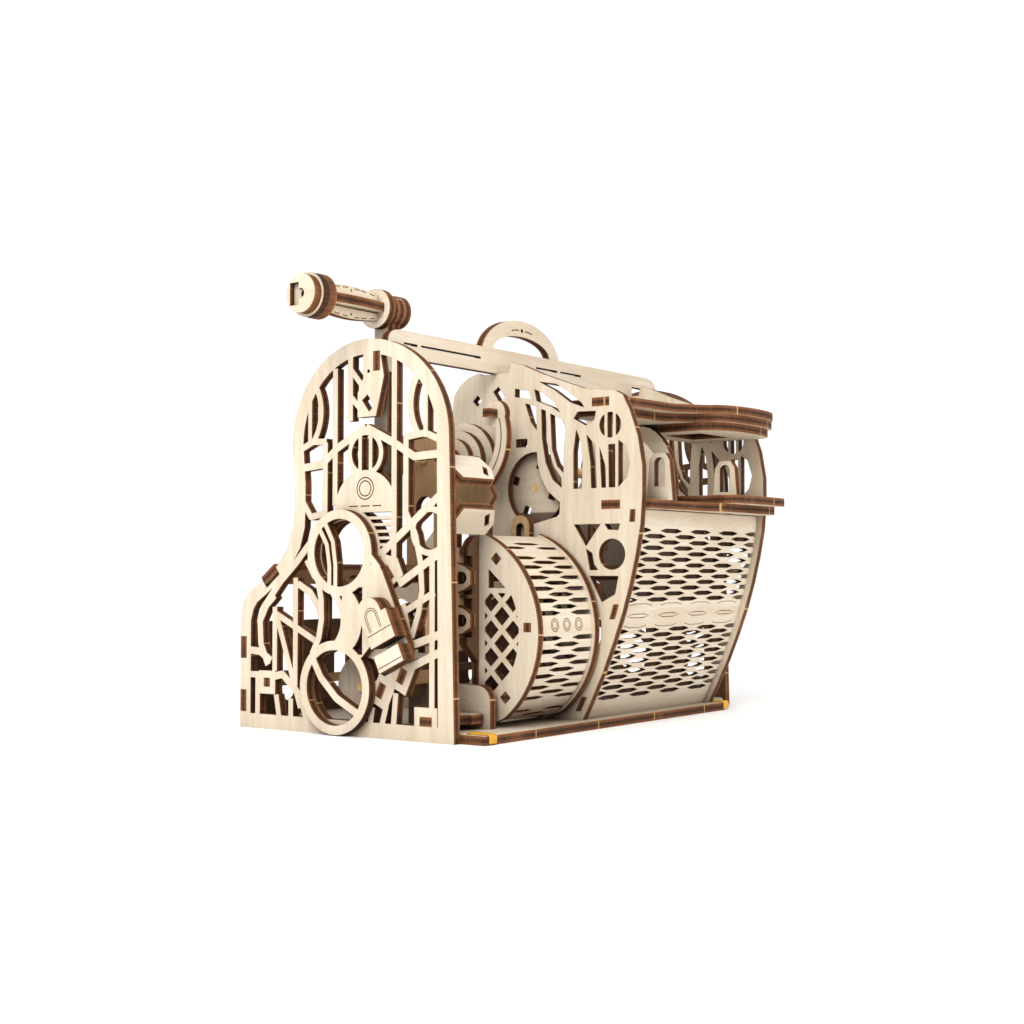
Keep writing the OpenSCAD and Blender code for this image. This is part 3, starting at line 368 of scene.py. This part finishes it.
def sheet_axes(name, places):
    """The normal of a flat sheet and its grain direction: the thinnest and the longest way across it."""
    choices = [X_AXIS, Y_AXIS, Z_AXIS]
    if name in TILTED:
        choices = [TILTED[name]]
    normal = min(choices, key=lambda axis: float(np.ptp(places @ np.array(axis))))
    if abs(normal.x) > 0.9:
        plane = [Z_AXIS, Y_AXIS]
    else:
        plane = [X_AXIS, normal.cross(X_AXIS).normalized()]
    plane.sort(key=lambda axis: -float(np.ptp(places @ np.array(axis))))
    return normal, plane[0], plane[1]


def mark_sheet(name, obj):
    """Stores where each vertex lies in its sheet, and sorts the polygons into faces and cut edges."""
    mesh = obj.data
    places, corners, owner, normals = mesh_arrays(mesh)
    which = solids(places, corners)
    sheet = np.zeros((len(places), 3), np.float32)
    tone = np.zeros(len(places), np.float32)
    vertex_normal = np.zeros((len(places), 3), np.float32)
    for number in range(which.max() + 1):
        mine = which == number
        here = places[mine]
        normal, grain, across = sheet_axes(name, here)
        depth = here @ np.array(normal)
        thick = max(float(np.ptp(depth)), 1e-6)
        sheet[mine, 0] = here @ np.array(grain) + scatter(name, number, "along")
        sheet[mine, 1] = here @ np.array(across) + scatter(name, number, "across")
        sheet[mine, 2] = (depth - depth.min()) / thick
        tone[mine] = scatter(name, number, "tone")
        vertex_normal[mine] = np.array(normal)
    facing = np.zeros((len(normals), 3), np.float32)
    facing[owner] = vertex_normal[corners[:, 0]]
    is_edge = np.abs((normals * facing).sum(1)) < 0.9
    return sheet, tone, is_edge


def mark_drum_strip(obj):
    """The strip bent round the drum: grain across it, plies outwards from its axis."""
    places, corners, owner, normals = mesh_arrays(obj.data)
    off = places - np.array(DRUM_AXIS)
    radius = np.hypot(off[:, 1], off[:, 2])
    angle = np.arctan2(off[:, 2], -off[:, 1])
    inner = np.percentile(radius, 2)
    outer = np.percentile(radius, 98)
    sheet = np.stack([places[:, 0], angle * outer, (radius - inner) / (outer - inner)], 1)
    centre = np.zeros((len(normals), 3), np.float32)
    centre[owner] = off[corners].mean(1)
    centre[:, 0] = 0
    centre /= np.maximum(np.linalg.norm(centre, axis=1, keepdims=True), 1e-9)
    is_edge = np.abs((normals * centre).sum(1)) < 0.85
    return sheet.astype(np.float32), np.full(len(places), 0.4, np.float32), is_edge


def mark_bay_mesh(obj):
    """The lattice sheet bent over the front curve of the ribs: plies run from its back to its front."""
    places, corners, owner, normals = mesh_arrays(obj.data)
    keys, welded = np.unique(np.round(places * 2e6).astype(np.int64), axis=0, return_inverse=True)
    welded = welded.reshape(-1)
    ply = np.full(len(keys), 0.5, np.float32)
    front = normals[owner, 1] < -0.7
    back = normals[owner, 1] > 0.7
    ply[welded[corners[front]].reshape(-1)] = 1.0
    ply[welded[corners[back]].reshape(-1)] = 0.0
    sheet = np.stack([places[:, 0], places[:, 2], ply[welded]], 1)
    is_edge = np.abs(normals[:, 1]) < 0.7
    return sheet.astype(np.float32), np.full(len(places), 0.6, np.float32), is_edge


def store(mesh, sheet, tone):
    mesh.attributes.new("sheet", "FLOAT_VECTOR", "POINT").data.foreach_set("vector", sheet.reshape(-1))
    mesh.attributes.new("tone", "FLOAT", "POINT").data.foreach_set("value", tone)


def finish_sheet(name, obj, face):
    if name == "drum_strip":
        sheet, tone, is_edge = mark_drum_strip(obj)
    elif name == "bay_mesh":
        sheet, tone, is_edge = mark_bay_mesh(obj)
    else:
        sheet, tone, is_edge = mark_sheet(name, obj)
    store(obj.data, sheet, tone)
    obj.data.materials.clear()
    obj.data.materials.append(face)
    obj.data.materials.append(EDGE)
    obj.data.polygons.foreach_set("material_index", is_edge.astype(np.int32))


def finish_plain(obj, material):
    """A dowel or a band: one material all over, with its own place as the grain coordinate."""
    places = mesh_arrays(obj.data)[0]
    store(obj.data, places.copy(), np.full(len(places), 0.5, np.float32))
    obj.data.materials.clear()
    obj.data.materials.append(material)


# sheets that stand inside the box and take a darker copy of the veneer: painted shade
INNER = [
    "back_slope", "bearing_plate", "drum_catch", "hasp_post", "side_panel_far", "lock_retainer",
    "waist_beam", "back_beam", "foot_beams", "chute_cheek",
]

# sheets whose inner side lies in the deep shade of the box, with the way that side faces
SHADED = {
    "back_plate": -Y_AXIS, "rib_near": X_AXIS, "drum_door": -Y_AXIS, "side_panel_near": X_AXIS,
    "side_panel_far": -X_AXIS,
}


PAINTED_SHADE_SLOT = 2


def shade_inner_side(name, obj):
    """The inner side of an outer sheet takes the dark veneer: painted shade."""
    normals = mesh_arrays(obj.data)[3]
    slots = np.zeros(len(obj.data.polygons), np.int32)
    obj.data.polygons.foreach_get("material_index", slots)
    slots[(normals @ np.array(SHADED[name])) > 0.95] = PAINTED_SHADE_SLOT
    obj.data.materials.append(FACE_PAINTED_SHADE)
    obj.data.polygons.foreach_set("material_index", slots)


for node_name, node_object in sorted(NODES.items()):
    if node_name in DOWELS:
        finish_plain(node_object, DOWEL)
    elif node_name in BANDS:
        finish_plain(node_object, RUBBER)
    else:
        finish_sheet(node_name, node_object, FACE_INNER_SHADE if node_name in INNER else FACE)
        if node_name in SHADED:
            shade_inner_side(node_name, node_object)


# ---------- rubber bands ----------


def rounded_section(width, thick):
    """The outline of a rubber band cut across: a flat strip with rounded sides."""
    half = thick / 2
    flat = width / 2 - half
    outline = []
    for side in (1, -1):
        for step in range(7):
            angle = math.radians(90 - 30 * step) * side
            outline.append((side * flat + side * half * math.cos(angle), half * math.sin(angle)))
    return outline


def sweep(path, across, width, thick):
    """Vertices and faces of a band that follows path, with its flat width lying along across."""
    outline = rounded_section(width, thick)
    verts = []
    faces = []
    for i, point in enumerate(path):
        ahead = path[min(i + 1, len(path) - 1)] - path[max(i - 1, 0)]
        out = across.cross(ahead.normalized()).normalized()
        for u, v in outline:
            verts.append(point + across * (u * MM) + out * (v * MM))
    ring = len(outline)
    for i in range(len(path) - 1):
        for j in range(ring):
            k = (j + 1) % ring
            faces.append((i * ring + j, i * ring + k, (i + 1) * ring + k, (i + 1) * ring + j))
    faces.append(tuple(range(ring))[::-1])
    faces.append(tuple((len(path) - 1) * ring + j for j in range(ring)))
    return verts, faces


def build(name, parts, body, material):
    """One mesh object made of several (vertices, faces) lists, riding on a body."""
    verts = []
    faces = []
    for part_verts, part_faces in parts:
        start = len(verts)
        verts += [tuple(v) for v in part_verts]
        faces += [tuple(start + i for i in face) for face in part_faces]
    mesh = bpy.data.meshes.new(name)
    mesh.from_pydata(verts, [], faces)
    shape = bmesh.new()
    shape.from_mesh(mesh)
    bmesh.ops.recalc_face_normals(shape, faces=shape.faces)
    shape.to_mesh(mesh)
    shape.free()
    mesh.materials.append(material)
    made = bpy.data.objects.new(name, mesh)
    bpy.context.scene.collection.objects.link(made)
    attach(made, body)
    return made


def smooth(made):
    for polygon in made.data.polygons:
        polygon.use_smooth = True


def corner_strap(x):
    """A band lying on the base plate, bent over its front edge and hanging down in front of it."""
    top = [row(x, y, 3.32) for y in (-1.4, -3.5, -6, -8, -9.3)]
    bend = []
    for angle in (15, 35, 55, 75, 90):
        level, upright = degrees(angle)
        bend.append(row(x, -9.6 - 0.68 * upright, 2.66 + 0.66 * level))
    drop = [row(x, -10.28, z) for z in (2, 1.3, 0.45)]
    return sweep(top + bend + drop, X_AXIS, 3.9, 0.5)


STRAPS = [corner_strap(6.6), corner_strap(157.8)]
corner_bands = build("corner_bands", STRAPS, "case", RUBBER)
smooth(corner_bands)
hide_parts("base_bands")

lock_band_path = [row(6.9, 38.2 + 0.5 * math.sin(z / 7), z) for z in range(20, 57, 3)]
lock_band = build("lock_band", [sweep(lock_band_path, Y_AXIS, 3.2, 0.7)], "case", RUBBER)
smooth(lock_band)


# ---------- engraved lines ----------

SINK = 0.04 * MM
RISE = 0.025 * MM


def stroke(points, normal, width=0.42, closed=False):
    """A thin burnt strip laid along points of a surface that faces normal, or one normal per point."""
    count = len(points)
    normals = normal if isinstance(normal, list) else [normal] * count
    verts = []
    faces = []
    for i, point in enumerate(points):
        before = points[(i - 1) % count] if closed or i else point
        after = points[(i + 1) % count] if closed or i < count - 1 else point
        side = normals[i].cross((after - before).normalized()).normalized() * (width / 2 * MM)
        up = normals[i] * RISE
        down = normals[i] * -SINK
        verts += [point - side + up, point + side + up, point + side + down, point - side + down]
    for i in range(count if closed else count - 1):
        here = 4 * i
        there = 4 * ((i + 1) % count)
        for j in range(4):
            k = (j + 1) % 4
            faces.append((here + j, here + k, there + k, there + j))
    if not closed:
        faces.append((0, 3, 2, 1))
        faces.append((4 * count - 4, 4 * count - 3, 4 * count - 2, 4 * count - 1))
    return verts, faces


def on_x(x, flat):
    """(Y, Z) places on a sheet face at X."""
    return [row(x, y, z) for y, z in flat]


def circle(centre, radius, count=28, start=0.0, end=360.0):
    full = end - start >= 360
    steps = count if full else count + 1
    return [
        (centre[0] + radius * degrees(start + (end - start) * i / count)[0],
         centre[1] + radius * degrees(start + (end - start) * i / count)[1])
        for i in range(steps)
    ]


def lens_outline(length, height):
    return [(-length / 2, 0), (-length / 4, height / 2), (length / 4, height / 2), (length / 2, 0),
            (length / 4, -height / 2), (-length / 4, -height / 2)]


def plaque_marks():
    """A plain coin and a dashed rule on the arched plaque of the near panel."""
    marks = [stroke(on_x(0, circle((37.5, 81.4), r)), -X_AXIS, 0.4, True) for r in (3.6, 2.5)]
    for start in (30.5, 35.6, 40.7):
        marks.append(stroke(on_x(0, [(start, 75.6), (start + 3.8, 75.6)]), -X_AXIS, 0.4))
    return marks


def padlock_marks():
    """The double arch of the shackle and two level rules on the padlock-shaped grip."""
    cos_turn, sin_turn = degrees(25)

    def turned(flat):
        return [(22.5 + u * cos_turn + v * sin_turn, 34 - u * sin_turn + v * cos_turn) for u, v in flat]

    x = -9.32
    marks = []
    for reach in (2.7, 2.0):
        top = circle((1.1, 6.8), reach, 14, 0, 180)[::-1]
        left = 1.1 - reach
        right = 1.1 + reach
        arch = [(left, 2.2), (left, 6.6)] + top + [(right, 6.6), (right, 2.2)]
        marks.append(stroke(on_x(x, turned(arch)), -X_AXIS, 0.26))
    for level in (1.3, -9.6):
        marks.append(stroke(on_x(x, turned([(-5.2, level), (5.2, level)])), -X_AXIS, 0.3))
    return marks


def handle_marks():
    """The dash on each side of the small hole in the carry handle."""
    marks = []
    for side in (-1, 1):
        places = ((1.8, 0), (4, 0.1), (6.4, 0.6))
        line = [row(79 + side * reach, 31.2, 143 - drop) for reach, drop in places]
        marks.append(stroke(line, -Y_AXIS))
    return marks


def track_marks():
    """The line engraved along the middle of the track."""
    arc = circle((37.5, 101.2), 20.2, 30, 162, 236)
    leg = [(27.2, 82), (27.3, 70), (27.4, 58)]
    return [stroke(on_x(47.6, line), -X_AXIS) for line in (arc, leg)]


def bay_marks():
    """Lens outlines on the plain band of the bay sheet, and half lenses above and below it."""
    marks = []
    lean = Vector((0, -1, -0.37)).normalized()
    lean_high = Vector((0, -1, -0.30)).normalized()

    def low(x, z):
        return row(x, -15.7 - 0.37 * (z - 30), z)

    def high(x, z):
        return row(x, -19.4 - 0.30 * (z - 40), z)

    for k in (-1.5, -0.5, 0.5, 1.5):
        middle = 109.75 + 20.8 * k
        lens = [low(middle + u, 38.7 + v) for u, v in lens_outline(14.6, 1.3)]
        marks.append(stroke(lens, lean, 0.28, True))
        half = [(-7.4, 0), (-3.7, 0.6), (3.7, 0.6), (7.4, 0)]
        marks.append(stroke([high(middle + u, 42.3 + v) for u, v in half], lean_high, 0.22))
        marks.append(stroke([low(middle + u, 35.3 - v) for u, v in half], lean, 0.22))
    return marks


def drum_marks():
    """Three plain coins in the band of the drum strip that has no slots."""
    marks = []
    for middle in (37.4, 44.4, 51.4):
        for radius in (2.1, 1.3):
            points = []
            normals = []
            for u, v in circle((0, 0), radius, 24):
                up, rise = degrees(4.25 + math.degrees(v / 34))
                points.append(row(middle + u, 21.5 - 34 * up, 34 + 34 * rise))
                normals.append(Vector((0, -up, rise)))
            marks.append(stroke(points, normals, 0.3, True))
    return marks


def grip_marks():
    """Dashes along the bulging edges of the upright slats and a dot in the middle of each."""
    marks = []
    left = -21.6
    length = 25.7
    for side in (-1, 1):
        for k in range(6):
            if k in (2, 3):
                ends = (0.345, 0.44) if k == 2 else (0.56, 0.655)
            else:
                ends = (0.02 + k * 0.166, 0.12 + k * 0.166)
            line = []
            for part in (ends[0], sum(ends) / 2, ends[1]):
                bulge = 4.2 + 1.1 * math.sin(math.pi * part) - 0.6
                line.append(row(left + length * part, 36, 141.5 + side * bulge))
            marks.append(stroke(line, -Y_AXIS, 0.3))
        dot = [row(left + length / 2 + u, 36, 141.5 + side * 3.9 + v) for u, v in circle((0, 0), 0.3, 10)]
        marks.append(stroke(dot, -Y_AXIS, 0.3, True))
    return marks


ENGRAVED = {
    "case": plaque_marks() + handle_marks() + track_marks() + bay_marks(),
    "padlock": padlock_marks(),
    "drum": drum_marks(),
    "grip": grip_marks(),
}
for mark_name, mark_parts in ENGRAVED.items():
    mark_body = "lock_lever" if mark_name == "padlock" else mark_name
    build(f"engraved_{mark_name}", mark_parts, mark_body, BURNT)


# ---------- studio ----------


def white_floor():
    """A large pale floor with a faint mottle, so that it isn't one flat tone."""
    g = Graph("studio_floor")
    place = g.node("ShaderNodeTexCoord").outputs["Object"]
    mottle = g.noise(g.stretch(place, 3, 3, 3), 3)
    colour = g.mix(g.span(mottle, 0.3, 0.7), (0.95, 0.95, 0.95, 1), (0.97, 0.97, 0.97, 1))
    material = g.finish({"Base Color": colour, "Roughness": 0.9, "Specular IOR Level": 0.1})
    mesh = bpy.data.meshes.new("studio_floor")
    reach = 12.0
    steps = 6
    line = steps + 1
    grid = [
        (reach * (2 * i / steps - 1), reach * (2 * j / steps - 1), 0)
        for j in range(line) for i in range(line)
    ]
    faces = [
        (j * line + i, j * line + i + 1, (j + 1) * line + i + 1, (j + 1) * line + i)
        for j in range(steps) for i in range(steps)
    ]
    mesh.from_pydata(grid, [], faces)
    mesh.materials.append(material)
    floor = bpy.data.objects.new("studio_floor", mesh)
    bpy.context.scene.collection.objects.link(floor)
    return floor


def soft_light(name, place, aim, size, power):
    light = bpy.data.lights.new(name, "AREA")
    light.shape = "DISK"
    light.size = size
    light.energy = power
    lamp = bpy.data.objects.new(name, light)
    lamp.location = place
    lamp.rotation_euler = (Vector(aim) - Vector(place)).to_track_quat("-Z", "Y").to_euler()
    bpy.context.scene.collection.objects.link(lamp)
    return lamp


def studio():
    scene = bpy.context.scene
    world = bpy.data.worlds.new("studio_world")
    world.use_nodes = True
    world.node_tree.nodes["Background"].inputs[0].default_value = (1, 1, 1, 1)
    world.node_tree.nodes["Background"].inputs[1].default_value = 1.06
    scene.world = world
    scene.view_settings.view_transform = "Standard"
    scene.view_settings.look = "None"
    scene.view_settings.exposure = 0.0
    white_floor()
    soft_light("key", (-0.75, -0.35, 0.6), (0, 0, 0.06), 0.5, 5.4)
    soft_light("fill", (0.25, -1.0, 0.35), (0, 0, 0.06), 0.6, 1.6)


def photo_camera():
    """The camera stands low in front of the near corner, level but for a slight upward pitch."""
    yaw_cos, yaw_sin = degrees(36.4)
    pitch_cos, pitch_sin = degrees(2.27)
    forward = Vector((pitch_cos * yaw_cos, pitch_cos * yaw_sin, pitch_sin))
    data = bpy.data.cameras.new("photo_camera")
    data.lens = 53.2
    data.sensor_width = 36.0
    data.clip_start = 0.01
    data.clip_end = 50.0
    camera = bpy.data.objects.new("photo_camera", data)
    camera.location = (-0.4612, -0.3439, 0.05394)
    camera.rotation_euler = forward.to_track_quat("-Z", "Y").to_euler()
    bpy.context.scene.collection.objects.link(camera)
    bpy.context.scene.camera = camera


studio()
photo_camera()
